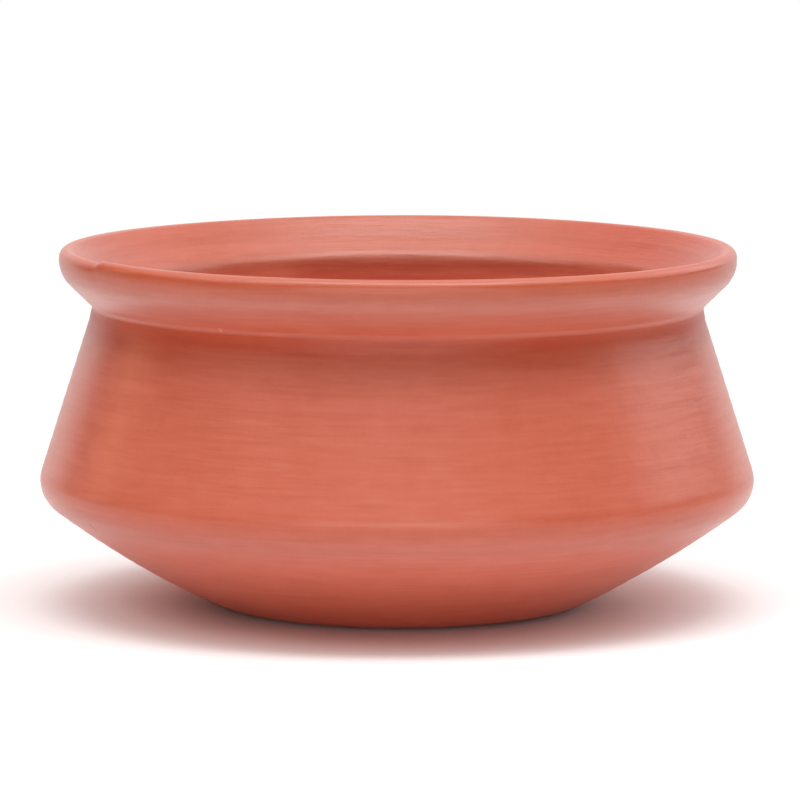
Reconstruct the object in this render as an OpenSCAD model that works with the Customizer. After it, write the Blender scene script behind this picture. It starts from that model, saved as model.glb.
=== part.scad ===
// Clay handi: a low, round-bottomed cooking pot with a wide ridged belly, a pinched neck and a flared rim.
// It is shaped in one piece of clay, so it is one wall, turned about Z. Lengths are in millimetres.
// Z is up, and the origin is the centre of the foot, where the pot stands.

/* [Body] */
// Diameter over the ridge of the belly, the widest part
belly_d = 240; // [220:1:280]
// Height of that widest line above the ground
belly_h = 42.5; // [36:0.5:60]
// Radius of the rounded ridge of the belly
belly_round = 10.5; // [7.5:0.5:18]
// Height from the belly's widest line up to the neck
shoulder_h = 58.5; // [45:0.5:100]
// Thickness of the wall
wall = 6.5; // [4:0.5:9]

/* [Foot] */
// Diameter of the flat that the pot stands on
foot_d = 106; // [70:1:130]
// Radius of the round that leads from the flat into the underside
foot_round = 28; // [15:1:40]
// Radius of the slow curve of the underside, from the foot up to the belly
underside_round = 335; // [150:5:900]
// Thickness of the floor
floor_t = 8; // [5:0.5:14]

/* [Neck] */
// How far the crease, where the rim springs from the neck, lies in from the ridge of the belly
neck_inset = 17.5; // [10:0.5:28]
// Radius in the bottom of the crease
crease_round = 2.4; // [1.2:0.1:3]
// Height of the upright collar under the crease
collar_h = 4; // [3:0.5:10]
// How far the collar spreads outwards towards its lower edge
collar_spread = 0.7; // [0.3:0.1:1.2]
// Radius where the collar turns out into the shoulder
collar_round = 3; // [2:0.5:20]
// Radius of the throat, where the inside of the rim turns down into the body
throat_round = 5; // [3:0.5:8]
// Height of the throat above the crease
throat_lift = 4.8; // [0:0.1:6]

/* [Rim] */
// How far the rim stands out past the crease
rim_overhang = 11; // [9:0.5:18]
// Height of the rim, from the crease to the top of the lip
rim_h = 20; // [16:0.5:26]
// Radius of the rim's outer face, which swells out from the neck
flare_round = 10.6; // [6:0.2:12]
// Height of the upright band at the widest part of the rim
rim_band = 0.9; // [0:0.1:3]
// Radius of the rounded lip
lip_round = 2.9; // [2.3:0.1:4]

/* [Hidden] */

neck_r = belly_d / 2 - neck_inset;
rim_r = neck_r + rim_overhang;
neck_z = belly_h + shoulder_h;
top_z = neck_z + rim_h;
clay = [0.8, 0.42, 0.33];

// Smallest radius that is left on the inside of a round, however thick the wall is
least_round = 1;
// Most that a flat of the outline strays from its true curve, and most that it turns, in degrees
flat_gap = 0.03;
flat_turn = 12;
// Points closer than this are one point
same_point = 0.001;
// Flats round the pot
round_count = 96;

// The outline runs round a row of discs as a belt does. Each disc is [radius from the axis, height,
// radius], and a minus radius is one that the outline rounds on its other side, as it does in a hollow.
foot = [foot_d / 2, foot_round, foot_round];
belly = [belly_d / 2 - belly_round, belly_h, belly_round];
underside = disc_around(foot, belly, underside_round);
collar = [neck_r + collar_spread + collar_round, neck_z - collar_h, -collar_round];
crease = [neck_r + crease_round, neck_z, -crease_round];
lip = [rim_r - lip_round, top_z - lip_round, lip_round];
flare = [rim_r - flare_round, top_z - lip_round - rim_band, flare_round];
throat = [neck_r - wall + throat_round, neck_z + throat_lift, throat_round];

// Inside the wall, the rounds of the belly and the foot keep their centres and lose the wall's thickness
belly_inside = [belly[0], belly[1], max(belly_round - wall, least_round)];
floor_round = max(foot_round - wall, least_round);
floor_edge = [foot[0], floor_t + floor_round, floor_round];
underside_inside = disc_around(floor_edge, belly_inside, underside_round - wall);

outer_discs = [foot, underside, belly, collar, crease, flare, lip];
inner_discs = [throat, hollow(belly_inside), hollow(underside_inside), hollow(floor_edge)];

// The same disc, rounded on its other side
function hollow(disc) = [disc[0], disc[1], -disc[2]];

// Large disc of a given radius that holds discs a and b and touches both, so that its rim joins theirs
function disc_around(a, b, radius) =
    let (
        reach = [b[0] - a[0], b[1] - a[1]],
        gap = norm(reach),
        from_a = radius - a[2],
        from_b = radius - b[2],
        along = (from_a * from_a - from_b * from_b + gap * gap) / (2 * gap),
        aside = sqrt(max(from_a * from_a - along * along, 0))
    )
    [
        a[0] + (reach[0] * along - reach[1] * aside) / gap,
        a[1] + (reach[1] * along + reach[0] * aside) / gap,
        radius
    ];

// Direction, in degrees, of the straight run that leaves disc a and meets disc b
function run_direction(a, b) =
    let (reach = [b[0] - a[0], b[1] - a[1]])
    atan2(reach[1], reach[0]) + asin(max(-1, min(1, (a[2] - b[2]) / norm(reach))));

// Turn from one direction to another, between -180 and 180 degrees
function turn_between(from, to) =
    let (turn = (to - from) % 360)
    turn > 180 ? turn - 360 : (turn < -180 ? turn + 360 : turn);

// Point of a disc's edge where the outline runs in a given direction
function edge_point(disc, direction) =
    [disc[0] + disc[2] * sin(direction), disc[1] - disc[2] * cos(direction)];

// Angle that one flat may take on a round of this radius
function flat_angle(radius) = min(flat_turn, 2 * acos(1 - min(flat_gap / radius, 1)));

// Points along a disc's edge as the outline turns from one direction to another
function arc(disc, from, to) =
    let (
        turn = turn_between(from, to),
        count = max(1, ceil(abs(turn) / flat_angle(abs(disc[2]))))
    )
    [for (i = [0:count]) edge_point(disc, from + turn * i / count)];

// Points of the belt round the discs in turn, which starts and ends in the given directions
function belt(discs, first, last) =
    let (
        last_disc = len(discs) - 1,
        runs = [for (i = [1:last_disc]) run_direction(discs[i - 1], discs[i])],
        directions = concat([first], runs, [last])
    )
    [for (i = [0:last_disc]) each arc(discs[i], directions[i], directions[i + 1])];

// The list without the points that repeat the one before them
function distinct(points) =
    [for (i = [0:len(points) - 1]) if (i == 0 || norm(points[i] - points[i - 1]) > same_point) points[i]];

// Section of the wall: out along the foot, up the outside, over the lip and down the inside to the floor
section = concat(
    [[0, 0]],
    distinct(belt(concat(outer_discs, inner_discs), 0, 180)),
    [[0, floor_t]]
);

module pot() {
    color(clay)
        rotate_extrude($fn = round_count)
            polygon(section);
}

pot();
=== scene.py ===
"""Clay handi: a low cooking pot, turned by hand in red clay, left unglazed and burnished to a soft sheen.

Lengths are in metres. Z is up, and the origin is the centre of the foot, where the pot stands.
"""
import math

import bpy
import numpy as np
from mathutils import Matrix, Vector


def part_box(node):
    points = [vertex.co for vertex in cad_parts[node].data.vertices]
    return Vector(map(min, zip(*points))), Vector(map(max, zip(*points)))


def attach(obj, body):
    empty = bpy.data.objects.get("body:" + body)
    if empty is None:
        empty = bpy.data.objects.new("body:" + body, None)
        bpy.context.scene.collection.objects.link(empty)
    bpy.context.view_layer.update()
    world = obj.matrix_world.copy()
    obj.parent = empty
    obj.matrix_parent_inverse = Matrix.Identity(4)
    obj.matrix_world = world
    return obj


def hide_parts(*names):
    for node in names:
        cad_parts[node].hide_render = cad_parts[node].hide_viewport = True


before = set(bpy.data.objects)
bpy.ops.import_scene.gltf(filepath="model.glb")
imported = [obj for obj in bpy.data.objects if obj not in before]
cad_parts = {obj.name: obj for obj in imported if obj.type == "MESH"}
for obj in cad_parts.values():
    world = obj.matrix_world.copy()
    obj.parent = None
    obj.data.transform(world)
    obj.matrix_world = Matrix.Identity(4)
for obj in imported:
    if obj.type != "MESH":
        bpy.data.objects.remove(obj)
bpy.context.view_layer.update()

pot_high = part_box("pot")[1]

MM = 0.001

# Sizes of the turned section
BELLY_R = pot_high[0]
TOP_Z = pot_high[2]
BELLY_Z = 42.5 * MM
BELLY_ROUND = 10.5 * MM
WALL = 6.5 * MM
FOOT_R = 53 * MM
FOOT_ROUND = 28 * MM
UNDERSIDE_ROUND = 335 * MM
FLOOR_T = 8 * MM
NECK_R = BELLY_R - 17.5 * MM
RIM_R = NECK_R + 11 * MM
RIM_H = 20 * MM
NECK_Z = TOP_Z - RIM_H
CREASE_ROUND = 2.4 * MM
COLLAR_H = 4 * MM
COLLAR_SPREAD = 0.7 * MM
COLLAR_ROUND = 3 * MM
THROAT_ROUND = 5 * MM
THROAT_LIFT = 4.8 * MM
FLARE_ROUND = 10.6 * MM
RIM_BAND = 0.9 * MM
LIP_ROUND = 2.9 * MM
LEAST_ROUND = 1 * MM

# Grid of the pot's surface: flats round the pot, and the longest flat and widest turn along the section
ROUND_COUNT = 336
FLAT_LENGTH = 1.7 * MM
FLAT_TURN = math.radians(9)
# Points nearer than this are one point
SAME_POINT = 0.0001 * MM

# Angles round the pot run from the right, anticlockwise seen from above, with the front at minus a quarter
FRONT = -math.pi / 2


def disc_around(a, b, radius):
    """Disc of the given radius that holds discs a and b and touches both.

    Its centre lies at the radii's differences from the two centres, on the left of the way from a to b.
    """
    reach = np.subtract(b[:2], a[:2])
    gap = np.hypot(*reach)
    from_a, from_b = radius - a[2], radius - b[2]
    along = (from_a ** 2 - from_b ** 2 + gap ** 2) / (2 * gap)
    aside = math.sqrt(from_a ** 2 - along ** 2)
    return (
        a[0] + (reach[0] * along - reach[1] * aside) / gap,
        a[1] + (reach[1] * along + reach[0] * aside) / gap,
        radius,
    )


def run_direction(a, b):
    """Direction of the straight run from disc a to disc b.

    It is the line of centres, turned by the arcsine of the radii's difference over the distance.
    """
    reach = np.subtract(b[:2], a[:2])
    lean = np.clip((a[2] - b[2]) / np.hypot(*reach), -1, 1)
    return math.atan2(reach[1], reach[0]) + math.asin(lean)


def edge_point(disc, direction):
    """Point of a disc's edge where a line with the disc on its left runs in the given direction."""
    return np.stack([disc[0] + disc[2] * np.sin(direction), disc[1] - disc[2] * np.cos(direction)], -1)


def belt(discs, first, last):
    """Points and directions of the belt that runs round the discs in turn.

    Each disc gives the arc of its edge between the run that comes in and the run that goes out. A disc with
    a minus radius is rounded on its other side.
    """
    directions = [first] + [run_direction(a, b) for a, b in zip(discs, discs[1:])] + [last]
    points, headings = [], []
    for disc, start, end in zip(discs, directions, directions[1:]):
        turn = (end - start + math.pi) % (2 * math.pi) - math.pi
        length = abs(turn * disc[2])
        count = math.ceil(max(abs(turn) / FLAT_TURN, length / FLAT_LENGTH)) + 1
        heading = start + turn * np.linspace(0, 1, count)
        points.append(edge_point(disc, heading))
        headings.append(heading)
    return np.concatenate(points), np.concatenate(headings)


def filled(points, headings, corner):
    """The line with points added along its long flats, so that no step is longer than FLAT_LENGTH.

    A step of n flats holds points at k/n of the way. The corner points at both ends are added first.
    """
    points = np.concatenate([[corner[0]], points, [corner[1]]])
    headings = np.concatenate([[0], headings, [math.pi]])
    steps = np.hypot(*np.diff(points, axis=0).T)
    flats = np.maximum(np.ceil(steps / FLAT_LENGTH), 1)
    flats[steps < SAME_POINT] = 0
    start = np.repeat(np.arange(len(steps)), flats.astype(int))
    share = np.concatenate([np.arange(n) / n for n in flats.astype(int)])
    dense = points[start] + (points[start + 1] - points[start]) * share[:, None]
    turned = headings[start] + (headings[start + 1] - headings[start]) * share
    return np.concatenate([dense, points[-1:]]), np.concatenate([turned, headings[-1:]])


def pot_section():
    """Section of the wall: out along the foot, up the outside, over the lip and down inside to the floor.

    Returns the points (distance from the axis, height) and the headings in which the section runs there.
    """
    foot = (FOOT_R, FOOT_ROUND, FOOT_ROUND)
    belly = (BELLY_R - BELLY_ROUND, BELLY_Z, BELLY_ROUND)
    underside = disc_around(foot, belly, UNDERSIDE_ROUND)
    collar = (NECK_R + COLLAR_SPREAD + COLLAR_ROUND, NECK_Z - COLLAR_H, -COLLAR_ROUND)
    crease = (NECK_R + CREASE_ROUND, NECK_Z, -CREASE_ROUND)
    lip = (RIM_R - LIP_ROUND, TOP_Z - LIP_ROUND, LIP_ROUND)
    flare = (RIM_R - FLARE_ROUND, TOP_Z - LIP_ROUND - RIM_BAND, FLARE_ROUND)
    throat = (NECK_R - WALL + THROAT_ROUND, NECK_Z + THROAT_LIFT, THROAT_ROUND)
    belly_inside = (belly[0], belly[1], max(BELLY_ROUND - WALL, LEAST_ROUND))
    floor_round = FOOT_ROUND - WALL
    floor_edge = (FOOT_R, FLOOR_T + floor_round, floor_round)
    underside_inside = disc_around(floor_edge, belly_inside, UNDERSIDE_ROUND - WALL)
    inner = [(r, z, -radius) for r, z, radius in (belly_inside, underside_inside, floor_edge)]
    discs = [foot, underside, belly, collar, crease, flare, lip, throat] + inner
    points, headings = belt(discs, 0.0, math.pi)
    return filled(points, headings, ((0.0, 0.0), (0.0, FLOOR_T)))


def swell(value, low, high, soft):
    """Smooth window: 1 between low and high, falling to 0 over the width soft outside them."""
    up = np.clip((value - low) / soft + 1, 0, 1)
    down = np.clip((high - value) / soft + 1, 0, 1)
    return up * up * (3 - 2 * up) * down * down * (3 - 2 * down)


def hump(value, centre, width):
    """Bell curve of height 1: e to the minus half the square of the distance over the width."""
    return np.exp(-0.5 * ((value - centre) / width) ** 2)


def turn_from(angle, centre):
    """Angle from a centre, between minus and plus half a turn."""
    return (angle - centre + math.pi) % (2 * math.pi) - math.pi


def slow_wave(angle, counts, depth, chance):
    """Smooth closed wave round the pot: a sum of sines of these counts, with chance heights and phases."""
    wave = np.zeros_like(angle)
    for count in counts:
        height, phase = chance.uniform(0.5, 1.0), chance.uniform(0, 2 * math.pi)
        wave = wave + height * np.sin(count * angle + phase)
    return depth * wave / len(counts)


# Rings left by the fingers: pitch along the section, depth, and the face that they are on. They are shallow
# on the burnished outside and deeper inside the body
RINGS = (
    (3.1 * MM, 0.018 * MM, "outside"),
    (5.3 * MM, 0.03 * MM, "outside"),
    (6.2 * MM, 0.12 * MM, "inside_body"),
    (4.4 * MM, 0.02 * MM, "inside_rim"),
    (9.5 * MM, 0.10 * MM, "inside_body"),
)
# How far a ring strays from its spiral, as a share of its pitch, and how much its depth varies
RING_STRAY = 0.25
RING_VARY = 0.6
# Where the rings start on the outside, as a distance along the section, and how far they stay from the lip's
# crest. Then how softly they fade out on the outside, near the crest and at the neck
RING_START = FOOT_R + 14 * MM
CREST_GAP = 3 * MM
OUTSIDE_FADE = 8 * MM
CREST_FADE = 3 * MM
NECK_FADE = 6 * MM
# Height above the crease at which the inside of the rim starts
RIM_START = 2 * MM


def ring_faces(s, z, crest, end):
    """The faces that carry rings: each is 1 where it lies and fades to 0 past its ends."""
    inside = swell(s, crest + CREST_GAP, end, CREST_FADE)
    above_neck = swell(z, NECK_Z + RIM_START, math.inf, NECK_FADE)
    return {
        "outside": swell(s, RING_START, crest - CREST_GAP, OUTSIDE_FADE),
        "inside_body": inside * (1 - above_neck),
        "inside_rim": inside * above_neck,
    }


def finger_rings(a, s, faces, chance):
    """Height of the fingers' rings, which climb round the pot as a slow spiral.

    It is the depth times the sine of a whole turn for each pitch along the section and each turn of the pot,
    with a drift and a strength that wander.
    """
    climb = a / (2 * math.pi)
    rings = np.zeros(np.broadcast(s, a).shape)
    for pitch, depth, face in RINGS:
        drift = slow_wave(a, (1, 2, 3), RING_STRAY, chance)
        strength = 1 + slow_wave(a, (1, 2, 4), RING_VARY, chance)
        rings = rings + depth * faces[face] * strength * np.sin(2 * math.pi * (s / pitch + climb + drift))
    return rings


# Grooves of the fingers round the inside of the flare: height, depth, half width
FLARE_GROOVES = ((117.3 * MM, 0.22 * MM, 1.1 * MM), (112.6 * MM, 0.10 * MM, 0.9 * MM))
# How much a groove's depth varies, and how far it strays up and down
GROOVE_VARY = 0.8
GROOVE_STRAY = 0.3 * MM


def flare_grooves(a, z, chance):
    """Depth of the grooves: a bell curve of the height, whose depth and height wander round the pot."""
    depth = np.zeros(np.broadcast(z, a).shape)
    for height, deep, width in FLARE_GROOVES:
        strength = 1 + slow_wave(a, (1, 2, 3, 5), GROOVE_VARY, chance)
        shift = slow_wave(a, (1, 2, 3), GROOVE_STRAY, chance)
        depth = depth + deep * strength * hump(z + shift, height, width)
    return depth


# The throat's round runs on down the wall, as a swelling with this height, half width and depth
THROAT_EASE_Z = 99 * MM
THROAT_EASE_WIDTH = 4.5 * MM
THROAT_EASE_DEPTH = 1.9 * MM
# Stretch at the back where it doesn't: turns from and to, and how softly each end fades
PLAIN_THROAT = (math.radians(66), math.radians(109))
PLAIN_THROAT_FADES = (math.radians(24), math.radians(6))


def throat_ease(a, z):
    """Height of the throat's swelling: a bell curve of the height, which fades out at the back."""
    (start, end), (fade_in, fade_out) = PLAIN_THROAT, PLAIN_THROAT_FADES
    share = np.clip((start - a) / fade_in, 0, 1) + np.clip((a - end) / fade_out, 0, 1)
    return THROAT_EASE_DEPTH * share * hump(z, THROAT_EASE_Z, THROAT_EASE_WIDTH)


# Marks of the hand: turn round the pot in degrees, height, depth, half length round the pot, half width,
# slant in degrees, and whether the mark is on the inside
DABS = (
    (38.0, 117.6 * MM, 0.35 * MM, 1.6 * MM, 0.8 * MM, -30, True),
    (43.5, 114.2 * MM, 0.25 * MM, 1.5 * MM, 0.7 * MM, 40, True),
    (32.5, 114.6 * MM, -0.22 * MM, 5.0 * MM, 1.8 * MM, -10, True),
    (46.0, 116.0 * MM, -0.12 * MM, 2.0 * MM, 0.9 * MM, 0, True),
    (-150.7, 36.6 * MM, 0.35 * MM, 1.5 * MM, 0.35 * MM, -35, False),
)


def dab_depth(a, r, z, inside):
    """Depth of the small marks on both faces: bell-shaped dents, or bumps where the depth is minus."""
    depth = np.zeros(np.broadcast(a, r).shape)
    for turn, height, deep, length, width, slant, within in DABS:
        round_it = turn_from(a, math.radians(turn)) * r
        up = z - height
        lean = math.radians(slant)
        far = round_it * math.cos(lean) + up * math.sin(lean)
        wide = up * math.cos(lean) - round_it * math.sin(lean)
        depth = depth + deep * hump(far, 0, length) * hump(wide, 0, width) * np.where(inside == within, 1, 0)
    return depth


# Step in the lip, at the front left, where a finger lifted off: its turn, how far the lip rises past it and
# falls before it, over what turn both ease off, and how sharp the step is
LIP_STEP_TURN = FRONT - math.radians(60.6)
LIP_STEP_RISE = 0.8 * MM
LIP_STEP_FALL = 0.45 * MM
LIP_STEP_FADE = math.radians(13)
LIP_STEP_WIDTH = math.radians(0.7)
# How far the middle of the step lies outside the lip's crest, and its half width, both along the section
LIP_STEP_OUT = 3 * MM
LIP_STEP_REACH = 4 * MM


def lip_step(a):
    """Height of the lip near its step: it falls a little before the step, jumps, and eases back after it."""
    away = turn_from(a, LIP_STEP_TURN)
    after = LIP_STEP_RISE * np.exp(-np.clip(away, 0, None) / LIP_STEP_FADE)
    before = -LIP_STEP_FALL * np.exp(np.clip(away, None, 0) / LIP_STEP_FADE)
    share = 0.5 + 0.5 * np.tanh(away / LIP_STEP_WIDTH)
    return before + (after - before) * share


# Small faults of a pot made by hand: how uneven the wall is, how far the belly stands out at its sides and
# in at its front and back, from what height up, and how softly both fade below it
UNEVEN_WALL = 0.06 * MM
OUT_OF_ROUND = 0.15 * MM
UNEVEN_START = 8 * MM
UNEVEN_FADE = 6 * MM
# The rim stands a little to the right and isn't quite level, from this height up, with a soft start
RIM_SHIFT_X = 0.2 * MM
RIM_SHIFT_START = NECK_Z + 1 * MM
RIM_SHIFT_FADE = 5 * MM
# Its waves up and down: count round the pot, height, turn of the crest in degrees
RIM_WAVES = ((0, -0.4 * MM, 0), (1, 0.36 * MM, -90), (2, 0.18 * MM, 65))
# The foot sits a little to the right, up to this height, above which the shift fades
FOOT_SHIFT_X = 0.8 * MM
FOOT_SHIFT_END = 3 * MM
FOOT_SHIFT_FADE = 9 * MM
# Distance from the axis within which the marks fade out, so that the middle of the floor closes cleanly
AXIS_FADE = 12 * MM
# Start of the numbers of chance
SEED = 7


def pot_surface():
    """The pot's skin: the section turned round Z, with the marks of the hand added along its normal.

    A point is (r cos a, r sin a, z) for the section's (r, z) and the angle a. Rows are along the section,
    columns round the pot. Returns the points, and their distances along the section.
    """
    chance = np.random.default_rng(SEED)
    section, heading = pot_section()
    along = np.concatenate([[0], np.cumsum(np.hypot(*np.diff(section, axis=0).T))])
    r, z, s = (row[:, None] for row in (section[:, 0], section[:, 1], along))
    a = np.linspace(0, 2 * math.pi, ROUND_COUNT, endpoint=False)[None, :]
    out_r, out_z = np.sin(heading)[:, None], -np.cos(heading)[:, None]
    crest = along[section[:, 1].argmax()]
    within = np.where(s > crest, 1, 0)

    rings = finger_rings(a, s, ring_faces(s, z, crest, along[-1]), chance)
    rings = rings - flare_grooves(a, z, chance) * within
    ease = throat_ease(a, z) * within
    uneven = slow_wave(a, (3, 4, 5), UNEVEN_WALL, chance) + OUT_OF_ROUND * np.cos(2 * a)
    uneven = uneven * swell(z, UNEVEN_START, math.inf, UNEVEN_FADE) * np.where(s < crest, 1, -1)
    mark = rings + ease + uneven - dab_depth(a, r, z, s > crest)
    mark = mark * np.clip(r / AXIS_FADE, 0, 1)
    rr = r + out_r * mark
    zz = z + out_z * mark

    rim = swell(z, RIM_SHIFT_START, math.inf, RIM_SHIFT_FADE)
    foot = swell(z, -math.inf, FOOT_SHIFT_END, FOOT_SHIFT_FADE)
    level = sum(height * np.cos(count * (a - math.radians(turn))) for count, height, turn in RIM_WAVES)
    lip = hump(s, crest - LIP_STEP_OUT, LIP_STEP_REACH)
    x = rr * np.cos(a) + rim * RIM_SHIFT_X + foot * FOOT_SHIFT_X
    y = rr * np.sin(a)
    return np.stack([x, y, zz + rim * level + lip * lip_step(a)], -1), np.broadcast_to(s, x.shape)


def add_object(name, data):
    """Object in the scene that holds this mesh, camera or lamp."""
    thing = bpy.data.objects.new(name, data)
    bpy.context.collection.objects.link(thing)
    return thing


def grid_mesh(name, grid, along):
    """Closed mesh from a grid whose first and last rows each lie on one point of the axis.

    Its attribute named along holds each point's distance along the section.
    """
    rows, columns = grid.shape[:2]
    body = grid[1:-1].reshape(-1, 3)
    points = np.concatenate([body, [grid[0].mean(0)], [grid[-1].mean(0)]])
    index = np.arange(len(body)).reshape(rows - 2, columns)
    beside = np.roll(index, -1, axis=1)
    quads = np.stack([index[:-1], beside[:-1], beside[1:], index[1:]], -1).reshape(-1, 4)
    bottom = np.stack([np.full(columns, len(body)), beside[0], index[0]], -1)
    top = np.stack([np.full(columns, len(body) + 1), index[-1], beside[-1]], -1)
    mesh = bpy.data.meshes.new(name)
    mesh.from_pydata(points, [], quads.tolist() + bottom.tolist() + top.tolist())
    lengths = np.concatenate([along[1:-1].ravel(), along[0, :1], along[-1, :1]])
    mesh.attributes.new("along", "FLOAT", "POINT").data.foreach_set("value", lengths.astype(np.float32))
    mesh.polygons.foreach_set("use_smooth", np.ones(len(mesh.polygons), bool))
    mesh.update()
    mesh.validate()
    return mesh


class Tree:
    """Small helper that adds nodes to a material or world and joins them."""

    def __init__(self, owner):
        owner.use_nodes = True
        self.nodes = owner.node_tree.nodes
        self.links = owner.node_tree.links
        self.nodes.clear()

    def add(self, kind, inputs=None, **settings):
        """New node with these settings, and with a socket or a constant on each input that is named."""
        node = self.nodes.new(kind)
        for key, value in settings.items():
            setattr(node, key, value)
        for key, value in (inputs or {}).items():
            self.feed(node.inputs[key], value)
        return node

    def feed(self, socket, value):
        """Joins a socket to another one, or sets it to a constant."""
        if isinstance(value, bpy.types.NodeSocket):
            self.links.new(value, socket)
        else:
            socket.default_value = value

    def math(self, operation, *values):
        """Result of a sum with numbers."""
        node = self.add("ShaderNodeMath", operation=operation)
        for socket, value in zip(node.inputs, values):
            self.feed(socket, value)
        return node.outputs[0]

    def vector(self, operation, *values):
        """Result of a sum with places or directions: a number for a length or a distance, else a vector."""
        node = self.add("ShaderNodeVectorMath", operation=operation)
        for socket, value in zip(node.inputs, values):
            self.feed(socket, value)
        return node.outputs["Value" if operation in ("LENGTH", "DISTANCE") else "Vector"]

    def noise(self, vector, scale, detail, roughness):
        """Smooth pattern of chance between 0 and 1, with scale grains to a unit of its coordinates."""
        node = self.add("ShaderNodeTexNoise", {"Vector": vector, "Scale": scale, "Detail": detail,
                                               "Roughness": roughness})
        return node.outputs[0]

    def remap(self, value, low, high, to_low=0.0, to_high=1.0):
        """The value, taken from one range to another in proportion and held at its ends."""
        node = self.add("ShaderNodeMapRange", {"Value": value, "From Min": low, "From Max": high,
                                               "To Min": to_low, "To Max": to_high})
        return node.outputs[0]

    def ramp(self, factor, stops):
        """Colour that runs evenly from stop to stop. Each stop is a place from 0 to 1 and a colour."""
        node = self.add("ShaderNodeValToRGB", {0: factor})
        marks = node.color_ramp.elements
        for mark, (place, colour) in zip(list(marks), stops):
            mark.position, mark.color = place, (*colour, 1)
        for place, colour in stops[2:]:
            marks.new(place).color = (*colour, 1)
        return node.outputs[0]

    def tint(self, share, colour, tint):
        """The colour, multiplied by the tint as far as the share says."""
        node = self.add("ShaderNodeMix", data_type="RGBA", blend_type="MULTIPLY")
        self.feed(node.inputs[0], share)
        self.feed(node.inputs[6], colour)
        self.feed(node.inputs[7], tint)
        return node.outputs[2]


# Colour of the plain clay: red, green and blue
CLAY = (0.563, 0.134, 0.085)

# Tone of the clay along the section, from the foot's centre up the outside, over the lip and down inside:
# distance in mm, and the shares of the plain clay's red, green and blue. Most of these tones are painted
# light and shade, set band by band to stand in for how the light falls on the pot
PAINTED_LIGHT_TONES = (
    # Underside, lighter and redder towards the foot: painted light that stands in for light bounced up from
    # the floor
    (56, 1.18, 1.10, 1.00),
    (64, 1.38, 1.02, 0.74),
    (74, 1.28, 1.07, 0.84),
    (86, 1.22, 1.13, 1.01),
    (112, 1.12, 1.12, 1.14),
    # Ridge of the belly: a painted pale reflection of the floor on its lower side, and a deeper band above
    # it, painted shade that damps the sheen there
    (121, 1.04, 1.22, 1.38),
    (126, 0.91, 1.04, 1.16),
    (131, 0.88, 0.80, 0.74),
    (134, 0.91, 0.74, 0.59),
    (139, 0.93, 0.90, 0.85),
    # Shoulder, darker towards the neck and deepest in the crease: the painted shadow of the overhanging rim
    (158, 0.92, 0.88, 0.81),
    (176, 0.89, 0.85, 0.79),
    (183, 0.81, 0.74, 0.67),
    (187, 0.73, 0.58, 0.46),
    (193, 0.73, 0.42, 0.26),
    (196, 0.88, 0.56, 0.37),
    (198, 0.92, 0.75, 0.62),
    # Face of the flare, paler and greyer: a painted reflection of the floor; then deeper towards its round
    # edge, painted shade under the lip's highlight
    (207, 0.88, 1.02, 1.13),
    (211, 0.84, 0.97, 1.04),
    (214, 0.82, 0.77, 0.71),
    (217, 0.81, 0.62, 0.43),
    # Lip, paler on its crest as a painted highlight, and the inside of the flare, kept darker than the plain
    # clay as painted shade against the strong light from above
    (222, 0.84, 0.89, 0.80),
    (226, 0.84, 0.86, 0.75),
    (230, 0.79, 0.77, 0.67),
    (236, 0.86, 0.92, 0.86),
    (239, 0.82, 0.88, 0.80),
    # Throat, darker as painted shade, and the hollow inside, much paler: painted light that stands in for
    # light bounced round inside the pot
    (242, 0.72, 0.68, 0.58),
    (244, 0.93, 0.93, 0.86),
    (248, 1.32, 1.78, 1.80),
    (254, 1.30, 1.88, 1.95),
    (260, 1.24, 1.72, 1.76),
    (290, 1.04, 1.22, 1.20),
)
TONE_SPAN = PAINTED_LIGHT_TONES[-1][0] * MM
# Where the lip's crest, the throat and the crease lie along the section, and over what length the surface or
# the colour changes at each
CREST_S = 220 * MM
CREST_BLEND = 3 * MM
THROAT_S = 243.5 * MM
THROAT_BLEND = 6 * MM
CREASE_S = 194 * MM
CREASE_REACH = 9 * MM
# Painted light: the inside of the rim is painted redder towards both sides, as the warm light that falls
# there.
# What this painted tint leaves of the clay's red, green and blue, where it starts and is full as shares of
# the way out to the side, and its strength on the left
PAINTED_SIDE_LIGHT = (1.0, 0.66, 0.51, 1)
PAINTED_SIDE_LIGHT_START = 0.3
PAINTED_SIDE_LIGHT_FULL = 0.85
PAINTED_SIDE_LIGHT_LEFT = 0.55
# What a pale and a dark streak leave of the clay's red, green and blue, and how far the shade strays from
# its middle in a full streak
PALER = (1.07, 1.25, 1.35, 1)
DARKER = (0.86, 0.78, 0.74, 1)
STREAK_SHADE = 0.6
# Roughness of the burnished clay and of the duller crease, and how much the mottle changes it
SHEEN_ROUGH = 0.31
CREASE_ROUGH = 0.39
MOTTLE_ROUGH = 0.02
# Relief of the lines and grains past the crest, as a multiple of the outside's
INSIDE_RELIEF = 2.0

# Small marks in the colour: place and radius in mm, and what the mark takes or leaves of the clay's red,
# green and blue
SPOTS = (
    # Nick low on the left
    (-100.1, -59.9, 34.7, 0.90, 0.68, 0.52, 0.50),
    (-99.2, -59.0, 33.7, 0.80, 0.75, 0.58, 0.54),
    (-98.2, -57.8, 32.6, 0.75, 0.85, 0.69, 0.63),
    (-96.6, -56.4, 31.2, 0.80, 0.94, 0.80, 0.74),
    # Crumb on the lower edge of the flare
    (-57.0, -85.6, 102.3, 0.80, 1.15, 1.60, 1.75),
    # Pale grit on the shoulder at the right
    (94.8, -61.7, 65.2, 1.40, 1.00, 1.14, 1.25),
    (101.1, -55.1, 59.5, 0.90, 1.02, 1.14, 1.22),
    (81.1, -79.8, 63.4, 0.90, 1.02, 1.12, 1.20),
    # Faint orange speck on the underside
    (21.5, -103.0, 26.6, 0.50, 1.20, 1.15, 0.90),
)
# Half width of a mark's soft edge, as a share of its radius
SPOT_EDGE = 0.3


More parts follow.
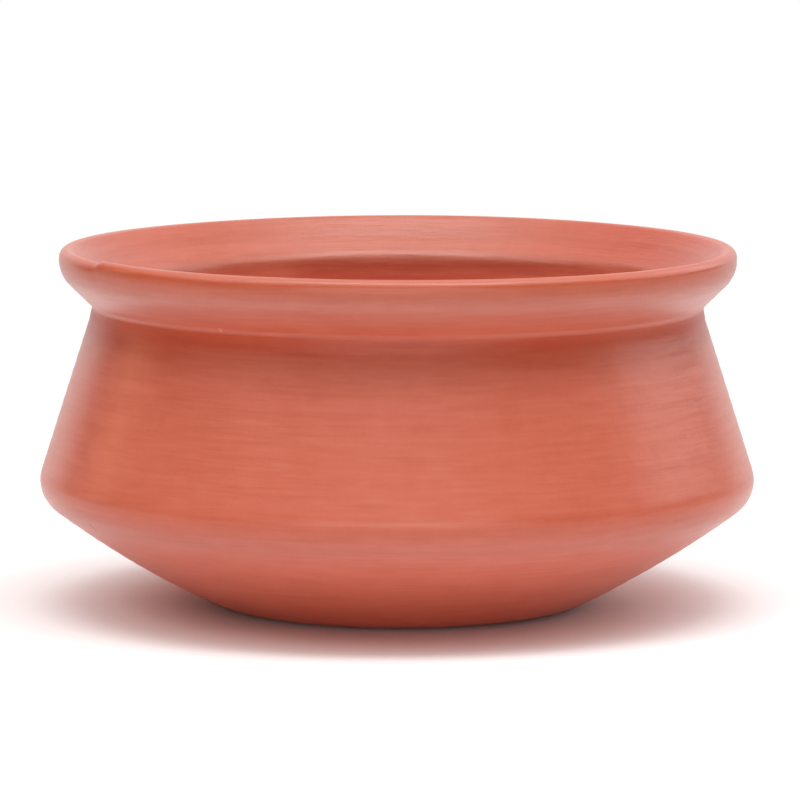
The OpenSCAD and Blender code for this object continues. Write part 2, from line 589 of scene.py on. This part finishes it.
def burnished_clay():
    """Unglazed red clay, rubbed to a soft sheen.

    Turning lines, a slow drift, a mottle and small grains vary its tone and its surface. Its tones along the
    section and the redder inside of the rim are mostly painted light and shade.
    """
    material = bpy.data.materials.new("burnished_clay")
    t = Tree(material)
    place = t.add("ShaderNodeTexCoord").outputs["Object"]
    along = t.add("ShaderNodeAttribute", attribute_name="along").outputs["Fac"]
    parts = t.add("ShaderNodeSeparateXYZ", {0: place}).outputs
    flat = t.add("ShaderNodeCombineXYZ", {0: parts[0], 1: parts[1]}).outputs[0]
    side = t.add("ShaderNodeSeparateXYZ", {0: t.vector("NORMALIZE", flat)}).outputs

    def lines(reach, fineness):
        """Coordinates in which a round grain is stretched into lines round the pot."""
        return t.add("ShaderNodeCombineXYZ", {
            0: t.math("MULTIPLY", side[0], reach),
            1: t.math("MULTIPLY", side[1], reach),
            2: t.math("MULTIPLY", along, fineness),
        }).outputs[0]

    # Grains to the pot's radius and to a metre of the section in the lines, and to a metre in the others,
    # then the number of finer layers and their strength
    fine_lines = t.noise(lines(7.0, 700), 1.0, 2.0, 0.55)
    long_lines = t.noise(lines(2.5, 420), 1.0, 2.0, 0.55)
    drift = t.noise(place, 26.0, 3.0, 0.5)
    mottle = t.noise(place, 140.0, 4.0, 0.6)
    grain = t.noise(place, 900.0, 1.0, 0.5)

    # Each pattern's share in the shade, and the height of its relief
    shade, relief = 0.0, 0.0
    for pattern, share, height in (
        (fine_lines, 0.85, 0.05 * MM),
        (long_lines, 0.80, 0.06 * MM),
        (drift, 0.45, 0.0),
        (mottle, 0.60, 0.06 * MM),
        (grain, 0.20, 0.01 * MM),
    ):
        shade = t.math("MULTIPLY_ADD", t.math("SUBTRACT", pattern, 0.5), share, shade)
        relief = t.math("MULTIPLY_ADD", pattern, height, relief)

    past_crest = t.remap(along, CREST_S - CREST_BLEND, CREST_S + CREST_BLEND)
    above_throat = t.remap(along, THROAT_S, THROAT_S - THROAT_BLEND)
    # Painted light: the inside of the rim is painted redder towards both sides
    right = t.remap(side[0], PAINTED_SIDE_LIGHT_START, PAINTED_SIDE_LIGHT_FULL)
    left = t.remap(side[0], -PAINTED_SIDE_LIGHT_START, -PAINTED_SIDE_LIGHT_FULL, 0, PAINTED_SIDE_LIGHT_LEFT)
    painted_side_light = t.math("MULTIPLY", t.math("MULTIPLY", past_crest, above_throat), t.math("ADD", right, left))

    # Tones along the section: mostly painted light and shade
    colour = t.ramp(t.remap(along, 0, TONE_SPAN), [
        (stop * MM / TONE_SPAN, [share * part for share, part in zip(shares, CLAY)])
        for stop, *shares in PAINTED_LIGHT_TONES
    ])
    colour = t.tint(painted_side_light, colour, PAINTED_SIDE_LIGHT)
    colour = t.tint(t.remap(shade, 0, STREAK_SHADE), colour, PALER)
    colour = t.tint(t.remap(shade, 0, -STREAK_SHADE), colour, DARKER)
    for x, y, z, radius, *shares in SPOTS:
        away = t.vector("DISTANCE", place, (x * MM, y * MM, z * MM))
        mark = t.remap(away, (1 + SPOT_EDGE) * radius * MM, (1 - SPOT_EDGE) * radius * MM)
        colour = t.tint(mark, colour, (*shares, 1))

    in_crease = t.remap(t.math("ABSOLUTE", t.math("SUBTRACT", along, CREASE_S)), CREASE_REACH, 0)
    rough = t.math("ADD", t.remap(in_crease, 0, 1, SHEEN_ROUGH, CREASE_ROUGH),
                   t.remap(mottle, 0.3, 0.7, -MOTTLE_ROUGH, MOTTLE_ROUGH))
    relief = t.math("MULTIPLY", relief, t.remap(past_crest, 0, 1, 1.0, INSIDE_RELIEF))
    bump = t.add("ShaderNodeBump", {"Height": relief, "Strength": 1.0, "Distance": 1.0})
    shader = t.add("ShaderNodeBsdfPrincipled", {
        "Base Color": colour, "Roughness": rough, "Normal": bump.outputs[0], "IOR": 1.5,
    })
    t.add("ShaderNodeOutputMaterial", {"Surface": shader.outputs[0]})
    return material


def make_pot():
    """The pot, in one piece, in place of its plain solid."""
    pot = add_object("turned_pot", grid_mesh("turned_pot", *pot_surface()))
    pot.data.materials.append(burnished_clay())
    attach(pot, "root")
    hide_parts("pot")


# Camera: a long lens, a little above the pot, looking slightly down. Its distance from the point that it
# aims at, its rise above the level, its roll, that point, and its focal length and film width in millimetres
VIEW_DISTANCE = 2.02
VIEW_RISE = math.radians(7.29)
VIEW_ROLL = math.radians(0.075)
VIEW_AIM = Vector((0.95 * MM, 0.0, 68.7 * MM))
LENS = 270
FILM_W = 36


def make_camera():
    """Camera straight in front of the pot, at VIEW_DISTANCE from its aim and VIEW_RISE above the level."""
    data = bpy.data.cameras.new("camera")
    data.lens = LENS
    data.sensor_width = FILM_W
    data.clip_start, data.clip_end = 0.1, 50
    camera = add_object("camera", data)
    back = Vector((0, -math.cos(VIEW_RISE), math.sin(VIEW_RISE)))
    turn = (-back).to_track_quat("-Z", "Y").to_matrix().to_4x4()
    place = Matrix.Translation(VIEW_AIM + back * VIEW_DISTANCE)
    camera.matrix_world = place @ turn @ Matrix.Rotation(VIEW_ROLL, 4, "Z")
    bpy.context.scene.camera = camera


# Height of the point that the lamps aim at
LAMP_AIM_Z = 80 * MM

# Soft boxes: turn to the right of the camera and rise, both in degrees, distance, width, height, and
# radiance of the face
SOFT_BOXES = {
    "high_front_box": (0, 77, 1.3, 1.2, 0.5, 4.2),
    "overhead_box": (0, 88, 1.4, 2.4, 1.0, 0.7),
    "front_box": (0, 25, 1.7, 1.6, 0.6, 0.4),
    "front_low_box": (0, 9, 1.8, 1.6, 0.3, 1.5),
    "floor_strip": (0, 2, 0.9, 1.2, 0.1, 3.6),
    "right_box": (112, 25, 1.4, 1.3, 0.8, 1.8),
    "left_box": (-60, 40, 1.5, 0.9, 0.6, 1.7),
    "left_strip": (-109, 20, 1.5, 0.2, 1.0, 2.8),
    "high_right_box": (70, 60, 1.4, 0.7, 0.7, 1.1),
}
WHITE_GLOW = (1, 1, 1)
# Lamps with a warm glow: red, green and blue
WARM_GLOWS = {"left_strip": (1.0, 0.5, 0.3)}


def from_pot(turn, rise, distance):
    """Place at a distance from the lamps' aim. Its turn to the camera's right and its rise are degrees."""
    turn, rise = math.radians(turn), math.radians(rise)
    level = distance * math.cos(rise)
    return Vector((level * math.sin(turn), -level * math.cos(turn), distance * math.sin(rise) + LAMP_AIM_Z))


def make_lights():
    """Large soft lamps all round. A lamp's power is its radiance times pi times the area of its face."""
    for name, (turn, rise, distance, width, height, radiance) in SOFT_BOXES.items():
        data = bpy.data.lights.new(name, "AREA")
        data.shape = "RECTANGLE"
        data.size, data.size_y = width, height
        data.energy = radiance * math.pi * width * height
        data.color = WARM_GLOWS.get(name, WHITE_GLOW)
        lamp = add_object(name, data)
        lamp.location = from_pot(turn, rise, distance)
        lamp.rotation_mode = "QUATERNION"
        lamp.rotation_quaternion = (Vector((0, 0, LAMP_AIM_Z)) - lamp.location).to_track_quat("-Z", "Y")
        lamp.visible_camera = False


# Strength of the room's own light on the pot, where 1 is white
WORLD_LIGHT = 1.03


def seen_rays(tree):
    """1 where a surface is seen, directly, mirrored or through glass, and 0 where it only lights others."""
    rays = tree.add("ShaderNodeLightPath").outputs
    mirrored = tree.math("MAXIMUM", rays["Is Glossy Ray"], rays["Is Transmission Ray"])
    return tree.math("MAXIMUM", rays["Is Camera Ray"], mirrored)


def make_world():
    """Pale room: white where it is seen, directly or mirrored, with its own strength as light."""
    world = bpy.data.worlds.new("pale_room")
    bpy.context.scene.world = world
    t = Tree(world)
    strength = t.remap(seen_rays(t), 0, 1, WORLD_LIGHT, 1.0)
    room = t.add("ShaderNodeBackground", {"Color": (1, 1, 1, 1), "Strength": strength})
    t.add("ShaderNodeOutputWorld", {"Surface": room.outputs[0]})


FLOOR_R = 6.0
FLOOR_SIDES = 96
FLOOR_COLOUR = (0.86, 0.86, 0.86, 1)
# Distance from the pot's axis at which the floor starts to fade into the white backdrop, and where it ends
FADE_START, FADE_END = 0.2, 0.5


def make_floor():
    """Round pale floor on the level of the foot, which fades into the white backdrop away from the pot."""
    angle = np.linspace(0, 2 * math.pi, FLOOR_SIDES, endpoint=False)
    ring = np.stack([np.cos(angle), np.sin(angle), 0 * angle], -1) * FLOOR_R
    mesh = bpy.data.meshes.new("floor")
    mesh.from_pydata(ring, [], [list(range(len(ring)))])
    floor = add_object("floor", mesh)
    material = bpy.data.materials.new("pale_floor")
    t = Tree(material)
    away = t.vector("LENGTH", t.add("ShaderNodeTexCoord").outputs["Object"])
    white_share = t.math("MULTIPLY", seen_rays(t), t.remap(away, FADE_START, FADE_END))
    plain = t.add("ShaderNodeBsdfDiffuse", {"Color": FLOOR_COLOUR})
    white = t.add("ShaderNodeEmission", {"Color": (1, 1, 1, 1), "Strength": 1.0})
    shader = t.add("ShaderNodeMixShader", {0: white_share, 1: plain.outputs[0], 2: white.outputs[0]})
    t.add("ShaderNodeOutputMaterial", {"Surface": shader.outputs[0]})
    mesh.materials.append(material)


# Dark screen round the front and the sides of the pot: turns from and to in degrees, height, distance,
# upright lines of its arc, and colour
SCREEN_TURNS = (-133, 135)
SCREEN_H = 1.5
SCREEN_DISTANCE = 2.0
SCREEN_POSTS = 48
SCREEN_COLOUR = (0.03, 0.03, 0.03, 1)


def make_screen():
    """Upright dark cloth on the level of the floor, unseen by the camera, that keeps the pot from glaring.

    It runs along an arc round the pot that is open at the back.
    """
    turn = np.radians(np.linspace(*SCREEN_TURNS, SCREEN_POSTS))
    low = np.stack([np.sin(turn), -np.cos(turn), 0 * turn], -1) * SCREEN_DISTANCE
    points = np.concatenate([low, low + [0, 0, SCREEN_H]])
    here = np.arange(len(turn) - 1)
    faces = np.stack([here, here + 1, here + 1 + len(turn), here + len(turn)], -1)
    mesh = bpy.data.meshes.new("dark_screen")
    mesh.from_pydata(points, [], faces.tolist())
    screen = add_object("dark_screen", mesh)
    material = bpy.data.materials.new("dark_cloth")
    t = Tree(material)
    cloth = t.add("ShaderNodeBsdfDiffuse", {"Color": SCREEN_COLOUR})
    t.add("ShaderNodeOutputMaterial", {"Surface": cloth.outputs[0]})
    mesh.materials.append(material)
    screen.visible_camera = False


bpy.context.scene.view_settings.view_transform = "Standard"
make_camera()
make_pot()
make_floor()
make_lights()
make_screen()
make_world()
